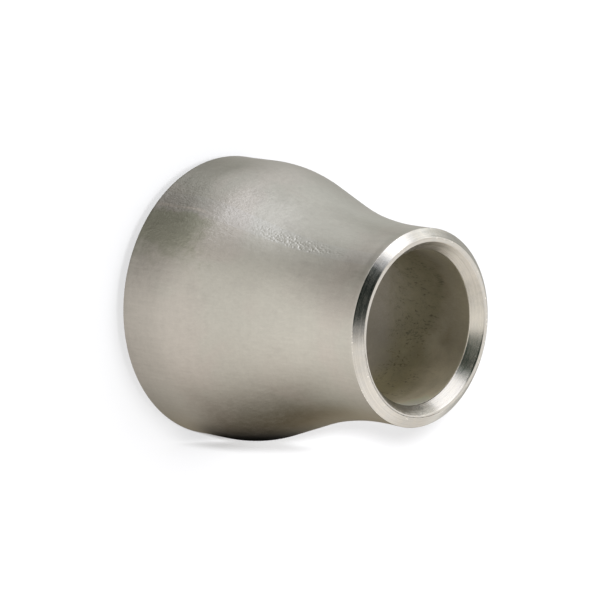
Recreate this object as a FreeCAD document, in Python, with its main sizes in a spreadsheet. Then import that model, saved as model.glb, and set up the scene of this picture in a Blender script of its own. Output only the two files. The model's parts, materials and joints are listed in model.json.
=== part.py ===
"""Concentric butt-weld reducer, NPS 3 x 2, Schedule 40, made from seam-welded stainless strip.

Frame: +Z along the axis, from the large end's face (z = 0) up to the small end's face. The origin is the
centre of the large end's face. The seam weld runs along the -Y side.

The wall is one closed section turned about the axis. The shell is that section turned through the full
circle less the seam, and the seam weld is the same section turned through the rest, so the two meet face
to face.
"""
import FreeCAD, Part
import math
import os

import Sketcher
from FreeCAD import Placement, Rotation, Vector

# Driving dimensions: alias, value in millimetres or degrees, meaning.
DIMENSIONS = [
    ("large_od", 88.9, "outside diameter of the large end, NPS 3"),
    ("large_wall", 5.49, "wall at the large end's face, NPS 3 Schedule 40"),
    ("small_od", 60.3, "outside diameter of the small end, NPS 2"),
    ("small_wall", 3.91, "wall at the small end's face, NPS 2 Schedule 40"),
    ("overall_length", 89.0, "face to face, the standard length of an NPS 3 x 2 reducer"),
    ("bevel_angle", 37.5, "welding bevel, measured from the plane of the end face"),
    ("land_width", 1.15, "flat root face left inside each bevel"),
    ("taper_length", 3.8, "depth of the machined taper inside the small end"),
    ("formed_bore", 47.2, "bore behind the taper, where forming has thickened the wall"),
    ("small_tangent", 9.6, "straight length at the small end, outside and inside"),
    ("cone_angle", 20.5, "half angle of the cone, outside and inside"),
    ("shoulder_radius", 42.0, "outside radius of the shoulder above the large end"),
    ("flare_radius", 92.5, "outside radius of the flare below the small end"),
    ("inner_shoulder_radius", 36.5, "inside radius of the shoulder"),
    ("inner_flare_radius", 98.0, "inside radius of the flare"),
    ("seam_angle", 9.0, "share of the circle taken by the seam weld"),
]

# The wall section's edges, in order: up the outside from the large end's face, then down the inside.
(
    LARGE_LAND, LARGE_BEVEL, LARGE_OUTSIDE, SHOULDER, CONE, FLARE, SMALL_OUTSIDE, SMALL_BEVEL,
    SMALL_LAND, SMALL_TAPER, SMALL_BORE, INNER_FLARE, INNER_CONE, INNER_SHOULDER, LARGE_BORE,
) = range(15)

START, END = 1, 2                        # a sketch edge's own ends
X_AXIS_EDGE, ORIGIN = -1, (-1, 1)        # the sketch's horizontal axis, and its origin point

# How each edge joins the next: edge, its end, next edge, its end. The arcs run anticlockwise.
SHARP_JOINTS = [
    (LARGE_LAND, END, LARGE_BEVEL, START),
    (LARGE_BEVEL, END, LARGE_OUTSIDE, START),
    (SMALL_OUTSIDE, END, SMALL_BEVEL, START),
    (SMALL_BEVEL, END, SMALL_LAND, START),
    (SMALL_LAND, END, SMALL_TAPER, START),
    (SMALL_TAPER, END, SMALL_BORE, START),
    (LARGE_BORE, END, LARGE_LAND, START),
]
SMOOTH_JOINTS = [
    (LARGE_OUTSIDE, END, SHOULDER, START),
    (SHOULDER, END, CONE, START),
    (CONE, END, FLARE, END),
    (FLARE, START, SMALL_OUTSIDE, START),
    (SMALL_BORE, END, INNER_FLARE, START),
    (INNER_FLARE, END, INNER_CONE, START),
    (INNER_CONE, END, INNER_SHOULDER, END),
    (INNER_SHOULDER, START, LARGE_BORE, START),
]


def make_sheet(doc):
    """The spreadsheet that drives the model."""
    sheet = doc.addObject("Spreadsheet::Sheet", "sizes")
    for row, (alias, value, meaning) in enumerate(DIMENSIONS, start=1):
        sheet.set(f"A{row}", alias)
        sheet.set(f"B{row}", str(value))
        sheet.set(f"C{row}", meaning)
        sheet.setAlias(f"B{row}", alias)
    doc.recompute()
    return sheet


def line(start, end):
    """A straight edge between two (radius, height) points."""
    return Part.LineSegment(Vector(*start, 0), Vector(*end, 0))


def arc(centre, radius, start_angle, end_angle):
    """An anticlockwise arc about a (radius, height) centre, with its angles in radians."""
    circle = Part.Circle(Vector(*centre, 0), Vector(0, 0, 1), radius)
    return Part.ArcOfCircle(circle, start_angle, end_angle)


def formed_side(small_radius, small_height, large_radius, flare, shoulder, angle):
    """One side of the wall between its straight ends: shoulder arc, cone line and flare arc.

    Returns the three edges' shapes and the height at which the shoulder meets the large end's straight.
    """
    sine, cosine = math.sin(angle), math.cos(angle)
    drop = large_radius - small_radius - (flare + shoulder) * (1 - cosine)
    cone_length = drop / sine
    flare_centre = (small_radius + flare, small_height)
    cone_top = (flare_centre[0] - flare * cosine, flare_centre[1] - flare * sine)
    cone_foot = (cone_top[0] + cone_length * sine, cone_top[1] - cone_length * cosine)
    shoulder_centre = (cone_foot[0] - shoulder * cosine, cone_foot[1] - shoulder * sine)
    shoulder_arc = arc(shoulder_centre, shoulder, 0, angle)
    flare_arc = arc(flare_centre, flare, math.pi, math.pi + angle)
    return shoulder_arc, (cone_foot, cone_top), flare_arc, shoulder_centre[1]


def section_edges(sheet):
    """The wall section as (radius, height) edges, in the order of their names above."""
    length = sheet.overall_length
    straight = length - sheet.small_tangent
    large_outer, small_outer = sheet.large_od / 2, sheet.small_od / 2
    large_inner, small_inner = large_outer - sheet.large_wall, small_outer - sheet.small_wall
    formed_inner = sheet.formed_bore / 2
    bevel = math.tan(math.radians(sheet.bevel_angle))
    large_land = large_inner + sheet.land_width
    small_land = small_inner + sheet.land_width
    large_bevel = (large_outer, (large_outer - large_land) * bevel)
    small_bevel = (small_outer, length - (small_outer - small_land) * bevel)
    taper_foot = (formed_inner, length - sheet.taper_length)

    angle = math.radians(sheet.cone_angle)
    shoulder, cone, flare, shoulder_height = formed_side(
        small_outer, straight, large_outer, sheet.flare_radius, sheet.shoulder_radius, angle)
    inner_shoulder, inner_cone, inner_flare, inner_height = formed_side(
        formed_inner, straight, large_inner, sheet.inner_flare_radius, sheet.inner_shoulder_radius, angle)

    return [
        line((large_inner, 0), (large_land, 0)),
        line((large_land, 0), large_bevel),
        line(large_bevel, (large_outer, shoulder_height)),
        shoulder,
        line(cone[0], cone[1]),
        flare,
        line((small_outer, straight), small_bevel),
        line(small_bevel, (small_land, length)),
        line((small_land, length), (small_inner, length)),
        line((small_inner, length), taper_foot),
        line(taper_foot, (formed_inner, straight)),
        inner_flare,
        line(inner_cone[1], inner_cone[0]),
        inner_shoulder,
        line((large_inner, inner_height), (large_inner, 0)),
    ]


def constrain(sketch, name, constraint, expression):
    """Adds a dimension to the sketch and binds it to the sheet."""
    index = sketch.addConstraint(constraint)
    sketch.renameConstraint(index, name)
    sketch.setExpression(f"Constraints.{name}", expression)


def radius_at(sketch, name, edge, end, expression):
    """Sets how far one end of an edge is from the axis."""
    value = sketch.getPoint(edge, end).x
    constrain(sketch, name, Sketcher.Constraint("DistanceX", *ORIGIN, edge, end, value), expression)


def wall_section(body, sheet):
    """The sketch of the wall section, attached to the body's own XZ plane and fully constrained."""
    sketch = body.newObject("Sketcher::SketchObject", f"{body.Name}_section")
    plane = next(o for o in body.Origin.OriginFeatures if o.Role == "XZ_Plane")
    sketch.AttachmentSupport = [(plane, "")]
    sketch.MapMode = "FlatFace"
    sketch.addGeometry(section_edges(sheet), False)

    for joint in SHARP_JOINTS:
        sketch.addConstraint(Sketcher.Constraint("Coincident", *joint))
    for joint in SMOOTH_JOINTS:
        sketch.addConstraint(Sketcher.Constraint("Tangent", *joint))
    for edge in (LARGE_LAND, SMALL_LAND):
        sketch.addConstraint(Sketcher.Constraint("Horizontal", edge))
    for edge in (LARGE_OUTSIDE, SMALL_OUTSIDE, SMALL_BORE, LARGE_BORE):
        sketch.addConstraint(Sketcher.Constraint("Vertical", edge))
    sketch.addConstraint(Sketcher.Constraint("PointOnObject", LARGE_LAND, START, X_AXIS_EDGE))
    sketch.addConstraint(Sketcher.Constraint("Horizontal", SMALL_BORE, END, SMALL_OUTSIDE, START))
    sketch.addConstraint(Sketcher.Constraint("Parallel", INNER_CONE, CONE))

    radius_at(sketch, "large_outer", LARGE_OUTSIDE, START, "sizes.large_od / 2")
    radius_at(sketch, "large_inner", LARGE_LAND, START, "sizes.large_od / 2 - sizes.large_wall")
    radius_at(sketch, "large_land", LARGE_LAND, END,
              "sizes.large_od / 2 - sizes.large_wall + sizes.land_width")
    radius_at(sketch, "small_outer", SMALL_OUTSIDE, END, "sizes.small_od / 2")
    radius_at(sketch, "small_inner", SMALL_LAND, END, "sizes.small_od / 2 - sizes.small_wall")
    radius_at(sketch, "small_land", SMALL_LAND, START,
              "sizes.small_od / 2 - sizes.small_wall + sizes.land_width")
    radius_at(sketch, "formed_inner", SMALL_BORE, START, "sizes.formed_bore / 2")

    bevel = math.radians(sheet.bevel_angle)
    cone = math.radians(sheet.cone_angle)
    constrain(sketch, "large_bevel", Sketcher.Constraint("Angle", LARGE_BEVEL, bevel), "sizes.bevel_angle")
    constrain(sketch, "small_bevel", Sketcher.Constraint("Angle", SMALL_BEVEL, math.pi - bevel),
              "180 - sizes.bevel_angle")
    constrain(sketch, "cone", Sketcher.Constraint("Angle", CONE, math.pi / 2 + cone),
              "90 + sizes.cone_angle")

    constrain(sketch, "length",
              Sketcher.Constraint("DistanceY", *ORIGIN, SMALL_LAND, START, sheet.overall_length),
              "sizes.overall_length")
    constrain(sketch, "small_straight",
              Sketcher.Constraint("DistanceY", SMALL_OUTSIDE, START, SMALL_LAND, START, sheet.small_tangent),
              "sizes.small_tangent")
    constrain(sketch, "taper",
              Sketcher.Constraint("DistanceY", SMALL_TAPER, END, SMALL_TAPER, START, sheet.taper_length),
              "sizes.taper_length")

    for edge, alias in ((SHOULDER, "shoulder_radius"), (FLARE, "flare_radius"),
                        (INNER_SHOULDER, "inner_shoulder_radius"), (INNER_FLARE, "inner_flare_radius")):
        constrain(sketch, alias, Sketcher.Constraint("Radius", edge, sheet.get(alias)), f"sizes.{alias}")
    return sketch


def turned_wall(doc, sheet, label, angle_expression, facing):
    """A sub-part made by turning the wall section about Z, equally to both sides of the facing direction."""
    body = doc.addObject("PartDesign::Body", label)
    body.Label = label
    sketch = wall_section(body, sheet)
    turn = body.newObject("PartDesign::Revolution", f"{label}_turned")
    turn.Profile = (sketch, [""])
    turn.ReferenceAxis = (sketch, ["V_Axis"])
    turn.Midplane = True
    turn.setExpression("Angle", angle_expression)
    sketch.Visibility = False
    body.Tip = turn
    body.Placement = Placement(Vector(0, 0, 0), Rotation(Vector(0, 0, 1), facing))
    return body


def check(doc, bodies):
    """Stops if any object failed, any section is loose, or any sub-part isn't one valid solid."""
    for item in doc.Objects:
        if "Invalid" in item.State or "Error" in item.State:
            raise RuntimeError(f"{item.Name} failed to recompute: {item.State}")
        if item.TypeId == "Sketcher::SketchObject" and not item.FullyConstrained:
            raise RuntimeError(f"{item.Name} isn't fully constrained")
    for body in bodies:
        if body.Shape.isNull() or not body.Shape.isValid() or len(body.Shape.Solids) != 1:
            raise RuntimeError(f"{body.Label} isn't one valid solid")


def main():
    doc = FreeCAD.newDocument("concentric_reducer")
    sheet = make_sheet(doc)
    # Degrees about Z from +X: the shell faces +Y, and the seam weld faces -Y.
    bodies = [
        turned_wall(doc, sheet, "reducer_shell", "360 - sizes.seam_angle", 90),
        turned_wall(doc, sheet, "longitudinal_seam_weld", "sizes.seam_angle", -90),
    ]
    doc.recompute()
    check(doc, bodies)

    os.makedirs("parts", exist_ok=True)
    for body in bodies:
        body.Shape.exportStep(f"parts/{body.Label}.step")
        box = body.Shape.optimalBoundingBox()
        print(f"{body.Label}: {body.Shape.Volume:.0f} mm3, "
              f"{box.XLength:.2f} x {box.YLength:.2f} x {box.ZLength:.2f} mm")


main()
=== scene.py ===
"""Butt-weld concentric reducer in a plain studio: finely turned pieces and steels round the frame."""

import json
import math

import bpy
import numpy as np
from mathutils import Matrix, Vector

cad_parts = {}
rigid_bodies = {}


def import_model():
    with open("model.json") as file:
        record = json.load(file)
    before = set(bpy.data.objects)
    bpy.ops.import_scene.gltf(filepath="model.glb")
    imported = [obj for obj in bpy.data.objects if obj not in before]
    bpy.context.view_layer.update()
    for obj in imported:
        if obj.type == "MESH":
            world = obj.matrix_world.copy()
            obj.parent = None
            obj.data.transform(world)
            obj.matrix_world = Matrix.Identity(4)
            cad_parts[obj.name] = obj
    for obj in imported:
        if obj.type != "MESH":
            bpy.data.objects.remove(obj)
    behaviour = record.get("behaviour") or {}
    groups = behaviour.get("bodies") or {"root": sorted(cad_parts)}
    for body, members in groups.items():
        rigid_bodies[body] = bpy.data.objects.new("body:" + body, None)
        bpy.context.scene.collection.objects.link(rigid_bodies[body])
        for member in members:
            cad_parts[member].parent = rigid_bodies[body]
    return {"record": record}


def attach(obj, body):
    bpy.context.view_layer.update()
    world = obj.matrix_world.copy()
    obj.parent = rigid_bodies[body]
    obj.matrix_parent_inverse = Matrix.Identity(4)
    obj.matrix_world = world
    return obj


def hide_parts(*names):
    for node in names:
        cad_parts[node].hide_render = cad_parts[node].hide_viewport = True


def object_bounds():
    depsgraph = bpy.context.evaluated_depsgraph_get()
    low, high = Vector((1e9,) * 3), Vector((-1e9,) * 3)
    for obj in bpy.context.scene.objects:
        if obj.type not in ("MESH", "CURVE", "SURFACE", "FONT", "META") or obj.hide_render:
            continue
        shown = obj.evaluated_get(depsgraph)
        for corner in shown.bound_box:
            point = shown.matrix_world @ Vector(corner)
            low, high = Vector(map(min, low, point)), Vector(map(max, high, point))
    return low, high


for leftover in list(bpy.data.objects):
    bpy.data.objects.remove(leftover)
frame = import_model()
cad_low, cad_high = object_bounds()

MM = 0.001

# The wall, in mm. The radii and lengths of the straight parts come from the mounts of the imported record.
mounts = {mount["name"]: mount["dims"] for mount in frame["record"]["mounts"]}
LENGTH = (cad_high.z - cad_low.z) / MM
LARGE_R = mounts["large_end_outside"]["r_mm"]
SMALL_R = mounts["small_end_outside"]["r_mm"]
LARGE_BORE_R = mounts["large_end_bore"]["r_mm"]
SMALL_BORE_R = mounts["small_end_bore"]["r_mm"]
LARGE_BORE_TOP = mounts["large_end_bore"]["length_mm"]
SMALL_BORE_LENGTH = mounts["small_end_bore"]["length_mm"]
LAND = 1.15
SMALL_WALL = 3.91
SMALL_TANGENT = 9.6
BEVEL_ANGLE = math.radians(37.5)
CONE_ANGLE = math.radians(20.5)
SHOULDER_R = 42.0
FLARE_R = 92.5
INNER_SHOULDER_R = 36.5
INNER_FLARE_R = 98.0
HALF_SEAM = math.radians(4.5)

# Every sharp edge is eased by a small arc: its radius in mm, and its points.
EDGE_R = 0.12
EDGE_POINTS = 4

# The outer edge of the small end's land isn't quite round the axis. How far it is shifted to one side, in mm,
# the turn that it is shifted towards, the share of that by which it is drawn in all round, and how far below
# the end the run-out starts to fade and has gone. It leaves alone everything inside the last radius.
RUN_OUT = 0.3
RUN_OUT_TURN = math.radians(-75)
RUN_OUT_DRAWN_IN = 0.2
RUN_OUT_START = 0.1
RUN_OUT_END = 2.0
RUN_OUT_INNER_R = 27.0

# Distance between points down the section, in mm: on the skin and on the machined faces of each piece, how
# many times coarser the large end's bevel and the taper are, and inside the bore.
SHELL_STEP = 0.85
SHELL_FINE_STEP = 0.28
SEAM_STEP = 0.16
SEAM_FINE_STEP = 0.2
LARGE_BEVEL_COARSER = 2
TAPER_COARSER = 1.3
THROAT_STEP = 1.0
BORE_CONE_STEP = 1.6
BORE_SHOULDER_STEP = 1.2
LARGE_BORE_STEP = 1.8

# Angle between points round the axis: in the seam, in the shell as far as NEAR_SEAM, and round the back.
SEAM_TURN = math.radians(0.24)
NEAR_TURN = math.radians(0.25)
FAR_TURN = math.radians(1.0)
NEAR_SEAM = math.radians(6)

# Unevenness of the skin, in mm: how far it lies inside the drawn surface, how far from each end that starts,
# over what height it comes in, and the depth of the slow waves of cold forming. Each wave is its share, its
# number round the pipe, its radians per mm of height, and its start.
SKIN_DEPTH = 0.03
SKIN_FROM_LARGE_END = 3.6
SKIN_FROM_SMALL_END = 2.4
SKIN_FADE = 3.0
FORMING_DEPTH = 0.10
FORMING_WAVES = ((0.5, 3, 0.09, 0.0), (0.3, 5, -0.13, 1.0), (0.2, 11, 0.31, 2.0))

# Peening marks along the seam, in mm. They lie between two heights, crowded in the middle, in a band that
# starts to one side of the seam and narrows towards the small end. Each has its own width, height, depth and
# lean, and a raised rim, and they fade out at the weld's edges. HAMMER_LIMITS is the highest rim, below zero,
# and the deepest mark. Turns from the seam become mm at SEAM_RADIUS.
HAMMER_SEED = 11
HAMMER_COUNT = 430
HAMMER_LOW = 35.0
HAMMER_HIGH = 80.0
HAMMER_CROWDING = (2.7, 2.9)
HAMMER_SHIFT = 1.3
HAMMER_SPREAD = 1.9
HAMMER_NARROWING = 0.7
HAMMER_WIDTH = (0.18, 0.40)
HAMMER_HEIGHT = (0.18, 0.46)
HAMMER_DEPTH = (0.014, 0.076)
HAMMER_LEAN = (-0.6, 0.6)
HAMMER_RIM = 0.45
HAMMER_LIMITS = (-0.028, 0.15)
HAMMER_MARGIN = 0.5
SEAM_RADIUS = 38.0

# Material index of a row of faces.
SKIN = 0
TURNED = 1
RAW_BORE = 2
BORED = 3


def formed_side(large_r, small_r, small_z, shoulder_r, flare_r):
    """Flare centre, both cone ends and shoulder centre of an S-shaped side, as (radius, height)."""
    along = Vector((math.cos(CONE_ANGLE), math.sin(CONE_ANGLE)))
    flare_centre = Vector((small_r + flare_r, small_z))
    cone_top = flare_centre - flare_r * along
    cone_length = (large_r - small_r - (flare_r + shoulder_r) * (1 - along.x)) / along.y
    cone_foot = cone_top + cone_length * Vector((along.y, -along.x))
    shoulder_centre = cone_foot - shoulder_r * along
    return flare_centre, cone_top, cone_foot, shoulder_centre


def stretch(start, end, step):
    """Points along a straight line, without its last point."""
    count = max(1, round((end - start).length / step))
    return [start.lerp(end, i / count) for i in range(count)]


def bend(centre, radius, start, end, step):
    """Points along an arc between two angles, without its last point."""
    count = max(2, round(abs(end - start) * radius / step))
    turns = [start + (end - start) * i / count for i in range(count)]
    return [centre + radius * Vector((math.cos(t), math.sin(t))) for t in turns]


def eased(before, corner, after):
    """The points of the small arc that eases a sharp corner."""
    into = (before - corner).normalized()
    out = (after - corner).normalized()
    half = into.angle(out) / 2
    reach = EDGE_R / math.tan(half)
    start = corner + into * reach
    end = corner + out * reach
    centre = corner + (into + out).normalized() * EDGE_R / math.sin(half)
    chord = [start.lerp(end, i / (EDGE_POINTS - 1)) for i in range(EDGE_POINTS)]
    return [centre + (point - centre).normalized() * EDGE_R for point in chord]


def wall_section(step, fine):
    """The closed wall section as (radius, height, material) rows: up the outside, and back down the bore."""
    large_rise = (LARGE_R - LARGE_BORE_R - LAND) * math.tan(BEVEL_ANGLE)
    small_drop = (SMALL_WALL - LAND) * math.tan(BEVEL_ANGLE)
    small_z = LENGTH - SMALL_TANGENT
    flare, cone_top, cone_foot, shoulder = formed_side(LARGE_R, SMALL_R, small_z, SHOULDER_R, FLARE_R)
    inner = formed_side(LARGE_BORE_R, SMALL_BORE_R, small_z, INNER_SHOULDER_R, INNER_FLARE_R)
    inner_flare, inner_top, inner_foot, inner_shoulder = inner

    bore_rim = Vector((LARGE_BORE_R, 0))
    bore_top = Vector((LARGE_BORE_R, LARGE_BORE_TOP))
    land_rim = Vector((LARGE_BORE_R + LAND, 0))
    large_rim = Vector((LARGE_R, large_rise))
    large_top = Vector((LARGE_R, shoulder.y))
    small_foot = Vector((SMALL_R, small_z))
    small_rim = Vector((SMALL_R, LENGTH - small_drop))
    face_out = Vector((SMALL_R - SMALL_WALL + LAND, LENGTH))
    face_in = Vector((SMALL_R - SMALL_WALL, LENGTH))
    taper_foot = Vector((SMALL_BORE_R, small_z + SMALL_BORE_LENGTH))
    throat = Vector((SMALL_BORE_R, small_z))

    ease_bore = eased(bore_top, bore_rim, land_rim)
    ease_land = eased(bore_rim, land_rim, large_rim)
    ease_large = eased(land_rim, large_rim, large_top)
    ease_small = eased(small_foot, small_rim, face_out)
    ease_out = eased(small_rim, face_out, face_in)
    ease_in = eased(face_out, face_in, taper_foot)
    runs = [
        (ease_bore[:-1], TURNED),
        (stretch(ease_bore[-1], ease_land[0], fine), TURNED),
        (ease_land[:-1], TURNED),
        (stretch(ease_land[-1], ease_large[0], LARGE_BEVEL_COARSER * fine), TURNED),
        (ease_large[:-1], TURNED),
        (stretch(ease_large[-1], large_top, step), SKIN),
        (bend(shoulder, SHOULDER_R, 0, CONE_ANGLE, step), SKIN),
        (stretch(cone_foot, cone_top, step), SKIN),
        (bend(flare, FLARE_R, math.pi + CONE_ANGLE, math.pi, step), SKIN),
        (stretch(small_foot, ease_small[0], step), SKIN),
        (ease_small[:-1], TURNED),
        (stretch(ease_small[-1], ease_out[0], fine), TURNED),
        (ease_out[:-1], TURNED),
        (stretch(ease_out[-1], ease_in[0], fine), TURNED),
        (ease_in[:-1], TURNED),
        (stretch(ease_in[-1], taper_foot, TAPER_COARSER * fine), BORED),
        (stretch(taper_foot, throat, THROAT_STEP), RAW_BORE),
        (bend(inner_flare, INNER_FLARE_R, math.pi, math.pi + CONE_ANGLE, BORE_CONE_STEP), RAW_BORE),
        (stretch(inner_top, inner_foot, BORE_CONE_STEP), RAW_BORE),
        (bend(inner_shoulder, INNER_SHOULDER_R, CONE_ANGLE, 0, BORE_SHOULDER_STEP), RAW_BORE),
        (stretch(bore_top, ease_bore[0], LARGE_BORE_STEP), RAW_BORE),
    ]
    return [(point.x, point.y, kind) for points, kind in runs for point in points]


def smooth_rise(value):
    """A soft step from 0 to 1."""
    t = np.clip(value, 0.0, 1.0)
    return t * t * (3 - 2 * t)


def forming_wave(turn, height):
    """Depth, in mm, of the slow unevenness that cold forming leaves in the skin."""
    total = 1
    for share, around, climb, start in FORMING_WAVES:
        total = total + share * np.sin(around * turn + climb * height + start)
    return FORMING_DEPTH * total / 2


def hammer_marks(turn, height):
    """Depth, in mm, of the peening marks along the seam."""
    draw = np.random.default_rng(HAMMER_SEED)
    depth = np.zeros_like(height)
    aside = turn * SEAM_RADIUS
    for _ in range(HAMMER_COUNT):
        place = draw.beta(*HAMMER_CROWDING)
        middle_height = HAMMER_LOW + place * (HAMMER_HIGH - HAMMER_LOW)
        spread = HAMMER_SPREAD * (1 - HAMMER_NARROWING * place)
        middle_aside = draw.normal(HAMMER_SHIFT * (1 - place), spread)
        width = draw.uniform(*HAMMER_WIDTH)
        tall = draw.uniform(*HAMMER_HEIGHT)
        force = draw.uniform(*HAMMER_DEPTH) * math.sin(math.pi * place)
        lean = draw.uniform(*HAMMER_LEAN)
        across = (aside - middle_aside) / width
        upward = (height - middle_height) / tall
        spot = across * across + upward * upward + lean * across * upward
        depth += force * np.exp(-spot) * (1 - HAMMER_RIM * spot)
    margin = smooth_rise((HALF_SEAM - np.abs(turn)) * SEAM_RADIUS / HAMMER_MARGIN)
    return np.clip(depth, *HAMMER_LIMITS) * margin


def skin_depth(turn, height):
    """How far the skin lies inside the drawn surface, in mm, fading out at the machined ends."""
    low_end = smooth_rise((height - SKIN_FROM_LARGE_END) / SKIN_FADE)
    high_end = smooth_rise((LENGTH - SKIN_FROM_SMALL_END - height) / SKIN_FADE)
    return (forming_wave(turn, height) + hammer_marks(turn, height) + SKIN_DEPTH) * low_end * high_end


def sector_points(turns, rows):
    """Places, in metres, of the section rows swept through the given turns from the seam."""
    radius = np.array([row[0] for row in rows])
    height = np.array([row[1] for row in rows])
    on_skin = np.array([row[2] == SKIN for row in rows])
    on_face = (height > LENGTH - RUN_OUT_END) & (radius > RUN_OUT_INNER_R)
    turn, up = np.meshgrid(np.array(turns), height, indexing="ij")
    reach = radius - np.where(on_skin, skin_depth(turn, up), 0.0)
    faded = np.clip((LENGTH - RUN_OUT_START - up) / (RUN_OUT_END - RUN_OUT_START), 0, 1)
    run_out = RUN_OUT * (1 - faded) * (np.cos(turn - RUN_OUT_TURN) - RUN_OUT_DRAWN_IN)
    reach = reach + np.where(on_face, run_out, 0.0)
    angle = turn - math.pi / 2
    return np.stack([reach * np.cos(angle), reach * np.sin(angle), up], axis=-1) * MM


def turned_sector(name, turns, rows):
    """A sector of the wall: the section rows swept through the given turns, with flat caps at both ends."""
    count = len(rows)
    steps = len(turns) - 1
    sides = []
    for i in range(steps):
        for j in range(count):
            k = (j + 1) % count
            sides.append((i * count + j, (i + 1) * count + j, (i + 1) * count + k, i * count + k))
    kinds = [row[2] for row in rows] * steps
    last = steps * count
    caps = [list(range(count)), [last + j for j in reversed(range(count))]]
    mesh = bpy.data.meshes.new(name)
    mesh.from_pydata(sector_points(turns, rows).reshape(-1, 3).tolist(), [], sides + caps)
    mesh.polygons.foreach_set("material_index", kinds + [SKIN, SKIN])
    mesh.polygons.foreach_set("use_smooth", [True] * len(sides) + [False, False])
    rim = {frozenset((cap[j], cap[j - 1])) for cap in caps for j in range(count)}
    for edge in mesh.edges:
        edge.use_edge_sharp = frozenset(edge.vertices) in rim
    mesh.update()
    piece = bpy.data.objects.new(name, mesh)
    bpy.context.scene.collection.objects.link(piece)
    return piece


def even_turns(start, end, step):
    """Turns from start to end, in radians, no further apart than step."""
    count = math.ceil((end - start) / step)
    return [start + (end - start) * i / count for i in range(count + 1)]


def shell_turns():
    """The shell's turns: fine beside the seam, where the dressing shows, and coarser round the back."""
    fine = even_turns(HALF_SEAM, NEAR_SEAM, NEAR_TURN)
    coarse = even_turns(NEAR_SEAM, math.tau - NEAR_SEAM, FAR_TURN)
    return fine[:-1] + coarse + [math.tau - turn for turn in reversed(fine[:-1])]


class Finish:
    """A procedural material, built one node at a time. Places are in mm, as mm and its parts x, y and z."""

    def __init__(self, name):
        self.material = bpy.data.materials.new(name)
        self.material.use_nodes = True
        self.tree = self.material.node_tree
        self.tree.nodes.clear()
        self.place = self.node("ShaderNodeTexCoord").outputs["Object"]
        self.mm = self.vector("SCALE", self.place, 1 / MM)
        parts = self.node("ShaderNodeSeparateXYZ", {0: self.mm}).outputs
        self.x = parts["X"]
        self.y = parts["Y"]
        self.z = parts["Z"]

    def node(self, kind, inputs=(), **settings):
        """A new node, with its inputs as {name or number: socket or value}."""
        made = self.tree.nodes.new(kind)
        for key, value in settings.items():
            setattr(made, key, value)
        for key, value in dict(inputs).items():
            self.feed(made.inputs[key], value)
        return made

    def feed(self, socket, value):
        """Links another node's socket to this one, or sets its value."""
        if isinstance(value, bpy.types.NodeSocket):
            self.tree.links.new(value, socket)
        elif isinstance(value, tuple) and len(value) == 3 and socket.type == "RGBA":
            socket.default_value = (*value, 1.0)
        else:
            socket.default_value = value

    def math(self, how, first, second=0.0):
        """One step of arithmetic on two numbers."""
        return self.node("ShaderNodeMath", {0: first, 1: second}, operation=how).outputs[0]

    def product(self, first, *others):
        """All the values multiplied together."""
        for other in others:
            first = self.math("MULTIPLY", first, other)
        return first

    def vector(self, how, first, second):
        """One step of arithmetic on two vectors, or for SCALE on a vector and a number."""
        key = "Scale" if how == "SCALE" else 1
        made = self.node("ShaderNodeVectorMath", {0: first, key: second}, operation=how)
        return made.outputs["Value" if how == "LENGTH" else "Vector"]

    def noise(self, where, size, detail=2.0, rough=0.5, twist=0.0):
        """Noise from 0 to 1 whose blotches are about size mm across."""
        inputs = {"Vector": where, "Scale": 1 / size, "Detail": detail, "Roughness": rough}
        inputs["Distortion"] = twist
        return self.node("ShaderNodeTexNoise", inputs).outputs["Fac"]

    def ramp(self, value, low, high, to_low=0.0, to_high=1.0):
        """value carried smoothly from the range low..high to the range to_low..to_high."""
        inputs = {"Value": value, 1: low, 2: high, 3: to_low, 4: to_high}
        return self.node("ShaderNodeMapRange", inputs, interpolation_type="SMOOTHSTEP").outputs["Result"]

    def mix(self, amount, first, second, how="MIX"):
        """The first colour mixed with the second, or multiplied by it, by an amount from 0 to 1."""
        made = self.node("ShaderNodeMix", data_type="RGBA", blend_type=how)
        self.feed(made.inputs["Factor"], amount)
        self.feed(made.inputs[6], first)
        self.feed(made.inputs[7], second)
        return made.outputs[2]

    def shade(self, colour, value):
        """colour made lighter or darker by the factor value."""
        grey = self.node("ShaderNodeCombineColor", {0: value, 1: value, 2: value}).outputs[0]
        return self.mix(1.0, colour, grey, "MULTIPLY")

    def weigh(self, *parts):
        """The sum of the (noise, weight) parts, each taken about its middle value."""
        total = 0.0
        for value, weight in parts:
            about_middle = self.math("SUBTRACT", value, 0.5)
            total = self.math("ADD", total, self.math("MULTIPLY", about_middle, weight))
        return total

    def stretched(self, x, y, z):
        """Places in mm, squeezed by the three factors."""
        return self.vector("MULTIPLY", self.mm, (x, y, z))

    def off_axis(self):
        """Distance from the axis in mm."""
        return self.vector("LENGTH", self.stretched(1, 1, 0), (0, 0, 0))

    def turning(self, squeeze):
        """Places as (radius, height, squeezed sweep), so that noise runs round the axis like tool marks."""
        sweep = self.math("MULTIPLY", self.math("ADD", self.x, self.y), squeeze)
        return self.node("ShaderNodeCombineXYZ", {0: self.off_axis(), 1: self.z, 2: sweep}).outputs[0]

    def bump(self, layers):
        """A normal from (height, depth in mm) layers."""
        normal = None
        for height, depth in layers:
            inputs = {"Height": height, "Strength": 1.0, "Distance": depth * MM}
            made = self.node("ShaderNodeBump", inputs)
            if normal is not None:
                self.tree.links.new(normal, made.inputs["Normal"])
            normal = made.outputs["Normal"]
        return normal

    def steel(self, colour, roughness, normal, **constants):
        """Ends the material in a metal shader, and returns the shader."""
        inputs = {"Base Color": colour, "Roughness": roughness, "Normal": normal, "Metallic": 1.0}
        inputs.update({key.replace("_", " ").title(): value for key, value in constants.items()})
        shader = self.node("ShaderNodeBsdfPrincipled", inputs)
        self.node("ShaderNodeOutputMaterial", {"Surface": shader.outputs["BSDF"]})
        return shader


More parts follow.
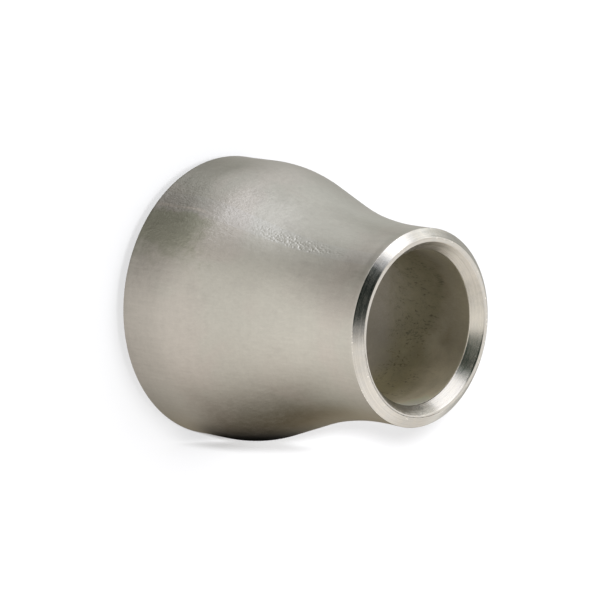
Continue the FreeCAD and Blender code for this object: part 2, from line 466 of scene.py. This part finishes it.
def tinted(colour, factors):
    """colour with each of its three parts multiplied by its own factor."""
    return tuple(part * factor for part, factor in zip(colour, factors))


def seam_stain_and_painted_shade(finish, patches, mottle):
    """How dark the patch beside the seam is, near the large end, from 0 to 1: part pickling stain, part
    painted shade.
    """
    ragged = finish.weigh((patches, 14.0), (mottle, 10.0))
    height = finish.math("ADD", finish.z, ragged)
    across = finish.math("ADD", finish.x, ragged)
    low = finish.ramp(height, 24.0, 33.0, 1.0, 0.0)
    near_side = finish.ramp(across, 2.0, 5.0)
    far_side = finish.ramp(across, 13.0, 22.0, 1.0, 0.0)
    front = finish.ramp(finish.y, -24.0, -32.0, 0.0, 0.8)
    return finish.product(low, near_side, far_side, front)


def seam_line(finish, wander):
    """The thin bright line of the ground seam along the large end, from 0 to 1."""
    middle_mm = 1.6
    wander_mm = 1.6
    aside = finish.math("ADD", finish.x, finish.weigh((wander, wander_mm)))
    gap = finish.math("ABSOLUTE", finish.math("SUBTRACT", aside, middle_mm))
    line = finish.ramp(gap, 0.15, 0.8, 1.0, 0.0)
    low = finish.ramp(finish.z, 21.0, 31.0, 1.0, 0.0)
    front = finish.ramp(finish.y, -16.0, -26.0)
    broken = finish.ramp(wander, 0.25, 0.6, 0.35, 1.0)
    return finish.product(line, low, front, broken)


def dressing_marks(finish):
    """The height of the coarse marks left where the skin beside the seam was dressed and planished."""
    squeezed = finish.stretched(1.0, 1.0, 0.55)
    rough_spots = finish.noise(squeezed, 0.85, detail=3.0, rough=0.65, twist=0.2)
    beside = finish.ramp(finish.math("ABSOLUTE", finish.x), 9.0, 22.0, 1.0, 0.0)
    low = finish.ramp(finish.z, 27.0, 46.0, 1.0, 0.0)
    front = finish.ramp(finish.y, -16.0, -26.0)
    return finish.product(rough_spots, beside, low, front)


def skin_colour(finish, base, clouds, patches, mottle):
    """Faint warm and green clouds, darker stains, the seam's bright line, and its stain with painted shade.
    """
    warm = tinted(base, (1.011, 0.994, 0.99))
    green = tinted(base, (0.986, 1.0, 0.987))
    stained = tinted(base, (0.84, 0.84, 0.84))
    dark_green = tinted(base, (0.74, 0.78, 0.68))
    bright = tinted(base, (1.24, 1.18, 1.15))

    large_half = finish.ramp(finish.z, 28.0, 50.0, 0.07, -0.12)
    small_end = finish.ramp(finish.z, 66.0, 82.0, 0.0, 0.12)
    warmth = finish.math("ADD", clouds, finish.math("ADD", large_half, small_end))
    colour = finish.mix(finish.ramp(warmth, 0.38, 0.62), green, warm)
    stain = finish.math("MULTIPLY", finish.ramp(patches, 0.56, 0.74), 0.5)
    colour = finish.mix(stain, colour, stained)
    # The dark green patch beside the seam is partly a stain and partly painted shade.
    colour = finish.mix(seam_stain_and_painted_shade(finish, patches, mottle), colour, dark_green)
    wander = finish.noise(finish.stretched(1.0, 1.0, 0.5), 5.0)
    return finish.mix(seam_line(finish, wander), colour, bright)


def blasted_skin(name, base, roughness):
    """Pickled, blasted stainless: fine grey grain, faint clouds, drawn lines, stains, painted shade and
    light.
    """
    finish = Finish(name)
    clouds = finish.noise(finish.mm, 22.0, detail=3.0, rough=0.55, twist=0.5)
    patches = finish.noise(finish.stretched(1.0, 1.0, 0.6), 8.0, detail=4.0, rough=0.62, twist=0.3)
    mottle = finish.noise(finish.mm, 2.2, detail=4.0, rough=0.65)
    peen = finish.noise(finish.mm, 0.95)
    grain = finish.noise(finish.mm, 0.36, rough=0.6)
    streaks = finish.noise(finish.stretched(1.0, 1.0, 0.07), 0.8, detail=3.0, rough=0.65)
    rings = finish.noise(finish.turning(0.05), 1.6, detail=3.0, rough=0.6)

    tone = finish.weigh((mottle, 0.18), (peen, 0.10), (grain, 0.12), (streaks, 0.20), (rings, 0.06))
    # Painted shade and light: the skin is darkened towards the large end's foot and lightened towards the
    # small end.
    painted_shade_at_foot = finish.ramp(finish.z, -8.0, 22.0, 0.72, 0.97)
    painted_light_at_top = finish.ramp(finish.z, 20.0, 100.0, 1.0, 1.2)
    brightness = finish.math("ADD", tone, finish.math("MULTIPLY", painted_shade_at_foot, painted_light_at_top))
    colour = finish.shade(skin_colour(finish, base, clouds, patches, mottle), brightness)

    rough = finish.math("ADD", finish.weigh((clouds, 0.08), (mottle, 0.14), (streaks, 0.08)), roughness)
    depths = [
        (patches, 0.06),
        (mottle, 0.045),
        (peen, 0.028),
        (streaks, 0.010),
        (rings, 0.004),
        (grain, 0.012),
        (dressing_marks(finish), 0.145),
    ]
    finish.steel(colour, rough, finish.bump(depths))
    return finish.material


def edge_burr_glints(finish):
    """Where small burrs sit as painted bright glints, from 0 to 1: in patches along the small end's sharp
    edges.
    """
    edges = 0.0
    for radius in (SMALL_R, SMALL_R - SMALL_WALL + LAND):
        gap = finish.math("ABSOLUTE", finish.math("SUBTRACT", finish.off_axis(), radius))
        edges = finish.math("ADD", edges, finish.ramp(gap, 0.14, 0.34, 1.0, 0.0))
    specks = finish.ramp(finish.noise(finish.mm, 0.5, detail=1.0), 0.57, 0.63)
    patches = finish.ramp(finish.noise(finish.mm, 7.0, detail=1.0), 0.46, 0.56)
    return finish.product(edges, specks, patches)


def turned_face(name, light, dark, roughness, anisotropy):
    """Freshly machined steel: bright, tool rings spreading the light across the cut, burrs painted as glints.
    """
    finish = Finish(name)
    rings = finish.noise(finish.turning(0.004), 0.16, detail=3.0, rough=0.7)
    bands = finish.noise(finish.turning(0.01), 0.7)
    chatter = finish.noise(finish.mm, 2.4, detail=3.0, rough=0.6)
    scratches = finish.noise(finish.stretched(1.0, 1.0, 0.12), 0.3, rough=0.6)
    # The burrs' near-white colour is a painted glint.
    painted_burr_glint = (0.93, 0.92, 0.89)
    colour = finish.mix(finish.ramp(chatter, 0.35, 0.65), dark, light)
    tone = finish.weigh((rings, 0.36), (bands, 0.26), (chatter, 0.08))
    colour = finish.shade(colour, finish.math("ADD", tone, 1.0))
    colour = finish.mix(edge_burr_glints(finish), colour, painted_burr_glint)
    rough = finish.math("ADD", finish.weigh((bands, 0.24), (chatter, 0.12)), roughness)
    normal = finish.bump([(bands, 0.012), (chatter, 0.014), (rings, 0.004), (scratches, 0.002)])
    shader = finish.steel(colour, rough, normal, anisotropic=anisotropy, anisotropic_rotation=0.25)
    tangent = finish.node("ShaderNodeTangent", direction_type="RADIAL", axis="Z").outputs[0]
    finish.feed(shader.inputs["Tangent"], tangent)
    return finish.material


def raw_bore():
    """The pickled inside: olive, darkest mid-height, with scale, drawn marks and painted light and shade."""
    finish = Finish("raw_bore_steel")
    clouds = finish.noise(finish.mm, 14.0, detail=4.0, rough=0.6, twist=0.4)
    blots = finish.noise(finish.stretched(1.0, 1.0, 0.5), 3.0, detail=4.0, rough=0.7, twist=0.6)
    marks = finish.noise(finish.stretched(1.0, 1.0, 0.28), 0.5, detail=3.0, rough=0.7, twist=0.4)
    grain = finish.noise(finish.mm, 0.45, rough=0.6)
    pickled_grey = (0.58, 0.55, 0.495)
    throat_grey = (0.60, 0.565, 0.475)
    olive = (0.43, 0.405, 0.295)
    scale_brown = (0.17, 0.16, 0.115)
    roughness = 0.60

    height = finish.math("ADD", finish.z, finish.weigh((clouds, 20.0)))
    # The inside is olive and darkest in a band at mid-height.
    mid_height_band = finish.product(finish.ramp(height, 40.0, 60.0), finish.ramp(height, 68.0, 80.0, 1.0, 0.0))
    pickled = finish.mix(finish.ramp(finish.z, 62.0, 76.0), pickled_grey, throat_grey)
    colour = finish.mix(mid_height_band, pickled, olive)
    scale = finish.product(finish.ramp(marks, 0.50, 0.64), finish.ramp(blots, 0.42, 0.60))
    scale = finish.math("MULTIPLY", scale, finish.ramp(mid_height_band, 0.0, 1.0, 0.15, 0.9))
    colour = finish.mix(scale, colour, scale_brown)

    # Painted shade and light: the bore is darkened on the -x side and lightened on the +x side.
    side = finish.math("ADD", finish.x, finish.weigh((clouds, 16.0), (blots, 5.0)))
    tone = finish.weigh((grain, 0.14), (marks, 0.20), (clouds, 0.12))
    tone = finish.math("ADD", tone, finish.ramp(side, -17.0, 15.0, 0.58, 1.62))
    # Painted light: the bore is lightened towards the small end's throat.
    painted_throat_light = finish.ramp(finish.z, 76.0, 84.5, 1.0, 1.2)
    colour = finish.shade(colour, finish.math("MULTIPLY", tone, painted_throat_light))
    rough = finish.math("ADD", finish.weigh((blots, 0.14), (clouds, 0.08)), roughness)
    normal = finish.bump([(clouds, 0.05), (blots, 0.02), (marks, 0.01), (grain, 0.008)])
    finish.steel(colour, rough, normal)
    return finish.material


# The camera stands where the photograph was taken from: azimuth and elevation round the upright axis, then a
# roll. Its distance and target are in metres, and its lens in mm.
CAMERA_AZIMUTH = math.radians(35.71)
CAMERA_ELEVATION = math.radians(43.76)
CAMERA_ROLL = math.radians(99.54)
CAMERA_DISTANCE = 922.96 * MM
CAMERA_TARGET = Vector((1.04, -3.66, 40.76)) * MM
CAMERA_LENS = 176.97


def photo_camera():
    """The photograph's viewpoint. Returns the camera's right, up and backward directions."""
    level = math.cos(CAMERA_ELEVATION)
    east = math.sin(CAMERA_AZIMUTH) * level
    north = -math.cos(CAMERA_AZIMUTH) * level
    back = Vector((east, north, math.sin(CAMERA_ELEVATION)))
    turn = back.to_track_quat("Z", "Y").to_matrix() @ Matrix.Rotation(CAMERA_ROLL, 3, "Z")
    lens = bpy.data.cameras.new("photo_camera")
    lens.lens = CAMERA_LENS
    lens.clip_start = 0.05
    lens.clip_end = 20.0
    camera = bpy.data.objects.new("photo_camera", lens)
    camera.matrix_world = Matrix.Translation(CAMERA_TARGET + back * CAMERA_DISTANCE) @ turn.to_4x4()
    bpy.context.scene.collection.objects.link(camera)
    bpy.context.scene.camera = camera
    return turn.col[0], turn.col[1], turn.col[2]


# Round studio panels as seen from the object, in the camera's frame: sideways and upward angle of the middle,
# the angles from it where the panel starts to fade and where it ends, all in degrees, and its brightness and
# colour.
PANELS = {
    "softbox": (31, 62, 28, 37, (0.935, 0.935, 0.99)),
    "softbox_edge": (75, 32, 27, 29, (0.75, 0.75, 0.76)),
    "table": (75, -25, 54, 74, (0.73, 0.70, 0.68)),
    "window": (-58, -9, 2, 92, (0.87, 0.84, 0.805)),
    "side_wall": (138, 12, 39, 50, (0.295, 0.305, 0.31)),
    "ceiling": (-133, 88, 33, 43, (0.38, 0.38, 0.38)),
    "back_wall": (-179, 60, 13, 40, (0.285, 0.29, 0.29)),
    "low_card": (64, -60, 8, 34, (0.23, 0.22, 0.21)),
    "low_left_card": (-140, -35, 4, 25, (0.30, 0.29, 0.27)),
    "rear_glow": (174, 24, 4, 24, (0.08, 0.08, 0.07)),
    "right_card": (115, 42, 6, 24, (0.27, 0.265, 0.25)),
    "high_card": (133, 54, 6, 19, (0.46, 0.45, 0.43)),
    "floor_edge": (-170, -24, 4, 18, (0.24, 0.21, 0.17)),
    "warm_table": (-75, -52, 5, 45, (0.03, 0.008, 0.0)),
    "blue_card": (30, 24, 6, 22, (0.0, 0.02, 0.045)),
    "through": (-134, 5, 8, 30, (0.16, 0.15, 0.14)),
}
# Dark things in the studio, given the same way. Their colour is the share of each colour that they take.
SHADES = {
    "stand": (33, 10, 28, 35, (0.62, 0.615, 0.61)),
    "photographer": (8, 19, 28, 31, (1.0, 0.972, 0.985)),
    "gap": (-100, 34, 6, 40, (0.38, 0.38, 0.38)),
    "under": (-187, -47, 14, 25, (0.38, 0.48, 0.62)),
    "high_gap": (-55, 47, 8, 24, (0.09, 0.09, 0.09)),
    "low_shade": (-19, -46, 8, 28, (0.20, 0.20, 0.20)),
    "low_gap": (-130, -62, 6, 24, (0.12, 0.14, 0.15)),
    "far_gap": (174, -10, 2, 17, (0.22, 0.26, 0.32)),
}
ROOM = (0.172, 0.155, 0.112)


def studio(right, up, toward):
    """The world: soft panels for the steel to reflect, and plain white for the camera."""
    world = bpy.data.worlds.new("studio")
    world.use_nodes = True
    bpy.context.scene.world = world
    tree = world.node_tree
    tree.nodes.clear()
    ray = tree.nodes.new("ShaderNodeTexCoord").outputs["Generated"]

    def vector(how, first, second):
        """One step of arithmetic on two vectors, or for SCALE on a vector and a number."""
        made = tree.nodes.new("ShaderNodeVectorMath")
        made.operation = how
        tree.links.new(first, made.inputs[0])
        if isinstance(second, bpy.types.NodeSocket):
            tree.links.new(second, made.inputs["Scale" if how == "SCALE" else 1])
        else:
            made.inputs[1].default_value = second
        return made.outputs["Value" if how == "DOT_PRODUCT" else "Vector"]

    def patch(sideways, upward, inner, outer, colour):
        """The colour where a ray meets a round patch, fading to black round it."""
        side = math.radians(sideways)
        rise = math.radians(upward)
        level = right * math.sin(side) + toward * math.cos(side)
        middle = level * math.cos(rise) + up * math.sin(rise)
        soft = tree.nodes.new("ShaderNodeMapRange")
        soft.interpolation_type = "SMOOTHSTEP"
        tree.links.new(vector("DOT_PRODUCT", ray, middle), soft.inputs["Value"])
        soft.inputs["From Min"].default_value = math.cos(math.radians(outer))
        soft.inputs["From Max"].default_value = math.cos(math.radians(inner))
        return vector("SCALE", vector("ADD", black, colour), soft.outputs["Result"])

    black = vector("MULTIPLY", ray, (0.0, 0.0, 0.0))
    light = vector("ADD", black, ROOM)
    for panel in PANELS.values():
        light = vector("ADD", light, patch(*panel))
    for *place, taken in SHADES.values():
        kept = vector("ADD", patch(*place, tuple(-part for part in taken)), (1.0, 1.0, 1.0))
        light = vector("MULTIPLY", light, kept)

    panels = tree.nodes.new("ShaderNodeBackground")
    tree.links.new(light, panels.inputs["Color"])
    white = tree.nodes.new("ShaderNodeBackground")
    white.inputs["Color"].default_value = (1.0, 1.0, 1.0, 1.0)
    chosen = tree.nodes.new("ShaderNodeMixShader")
    tree.links.new(tree.nodes.new("ShaderNodeLightPath").outputs["Is Camera Ray"], chosen.inputs["Fac"])
    tree.links.new(panels.outputs[0], chosen.inputs[1])
    tree.links.new(white.outputs[0], chosen.inputs[2])
    tree.links.new(chosen.outputs[0], tree.nodes.new("ShaderNodeOutputWorld").inputs["Surface"])


def flat_square(name, half):
    """A flat square for the studio, from -half to half, in metres before any scaling."""
    mesh = bpy.data.meshes.new(name)
    corners = [(-half, -half, 0), (half, -half, 0), (half, half, 0), (-half, half, 0)]
    mesh.from_pydata(corners, [], [(0, 1, 2, 3)])
    square = bpy.data.objects.new(name, mesh)
    bpy.context.scene.collection.objects.link(square)
    return square


# The floor's half side in metres, and its own colour and glow, which come out nearly white under the lamps.
FLOOR_HALF = 4.0
FLOOR_COLOUR = (0.395, 0.40, 0.414, 1.0)
FLOOR_GLOW = 0.27


def pale_floor():
    """A plain floor under the large end. The steel reflects the studio panels instead of it."""
    floor = flat_square("floor", FLOOR_HALF)
    floor.visible_glossy = False
    material = bpy.data.materials.new("floor_white")
    material.use_nodes = True
    shader = material.node_tree.nodes["Principled BSDF"]
    shader.inputs["Base Color"].default_value = FLOOR_COLOUR
    shader.inputs["Roughness"].default_value = 1.0
    shader.inputs["Specular IOR Level"].default_value = 0.0
    shader.inputs["Emission Color"].default_value = (1.0, 1.0, 1.0, 1.0)
    shader.inputs["Emission Strength"].default_value = FLOOR_GLOW
    floor.data.materials.append(material)


# The dark card, in mm in the camera's frame: how far its middle lies to the side of the bulge's lowest point,
# under it and behind it, and its half width and half depth. It is solid up to CARD_SOLID of the way to its
# edge, and fades out from there.
CARD_SIDE = -1.0
CARD_GAP = 0.8
CARD_BACK = 1.0
CARD_HALF_WIDTH = 27.0
CARD_HALF_DEPTH = 23.0
CARD_SOLID = 0.38
CARD_COLOUR = (0.01, 0.01, 0.01)


def dark_card(lowest, right, up, toward):
    """A soft-edged dark card close under the bulge, where in the photograph the table nearly touches it.

    The camera doesn't see the card: it shows only as a reflection and a shadow.
    """
    card = flat_square("dark_card", half=1)
    middle = lowest + (CARD_SIDE * right - CARD_GAP * up - CARD_BACK * toward) * MM
    axes = Matrix((right * CARD_HALF_WIDTH * MM, toward * CARD_HALF_DEPTH * MM, up)).transposed()
    card.matrix_world = Matrix.Translation(middle) @ axes.to_4x4()
    card.visible_camera = False
    finish = Finish("dark_card_felt")
    off_middle = finish.vector("LENGTH", finish.place, (0, 0, 0))
    black = finish.node("ShaderNodeBsdfDiffuse", {"Color": CARD_COLOUR}).outputs[0]
    clear = finish.node("ShaderNodeBsdfTransparent").outputs[0]
    fading = finish.ramp(off_middle, CARD_SOLID, 1.0)
    faded = finish.node("ShaderNodeMixShader", {0: fading, 1: black, 2: clear}).outputs[0]
    finish.node("ShaderNodeOutputMaterial", {"Surface": faded})
    card.data.materials.append(finish.material)


def soft_sun(name, toward, strength, spread):
    """A broad lamp that lights the floor and draws the object's soft shadow. The steel doesn't mirror it."""
    lamp = bpy.data.lights.new(name, "SUN")
    lamp.energy = strength
    lamp.angle = math.radians(spread)
    light = bpy.data.objects.new(name, lamp)
    light.rotation_euler = toward.to_track_quat("Z", "Y").to_euler()
    light.visible_glossy = False
    bpy.context.scene.collection.objects.link(light)


# How far the two lamps lean towards the camera's up direction.
OVERHEAD_LEAN = 0.13
CAMERA_LAMP_LIFT = 0.088

skin = blasted_skin("blasted_steel", base=(0.525, 0.515, 0.495), roughness=0.345)
weld = blasted_skin("peened_weld_steel", base=(0.53, 0.525, 0.515), roughness=0.32)
turned = turned_face(
    "turned_steel",
    light=(0.645, 0.63, 0.60),
    dark=(0.625, 0.62, 0.605),
    roughness=0.20,
    anisotropy=0.85,
)
bored = turned_face(
    "bored_steel",
    light=(0.72, 0.70, 0.66),
    dark=(0.70, 0.685, 0.655),
    roughness=0.23,
    anisotropy=0.88,
)
bore = raw_bore()

shell = turned_sector("shell_wall", shell_turns(), wall_section(SHELL_STEP, SHELL_FINE_STEP))
seam_turns = even_turns(-HALF_SEAM, HALF_SEAM, SEAM_TURN)
seam = turned_sector("seam_weld", seam_turns, wall_section(SEAM_STEP, SEAM_FINE_STEP))
for piece, node, slot, outside in (
    (shell, "reducer_shell", "shell_steel", skin),
    (seam, "longitudinal_seam_weld", "weld_steel", weld),
):
    for material in (outside, turned, bore, bored):
        piece.data.materials.append(material)
    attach(piece, "root")
    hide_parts(node)

pale_floor()
right, up, toward = photo_camera()
studio(right, up, toward)
lowest = min((vertex.co for vertex in shell.data.vertices), key=up.dot)
dark_card(lowest, right, up, toward)
soft_sun("overhead_lamp", Vector((0, 0, 1)) + OVERHEAD_LEAN * up, strength=1.5, spread=26)
soft_sun("camera_lamp", toward + CAMERA_LAMP_LIFT * up, strength=3.7, spread=3.4)
bpy.context.scene.view_settings.view_transform = "Standard"
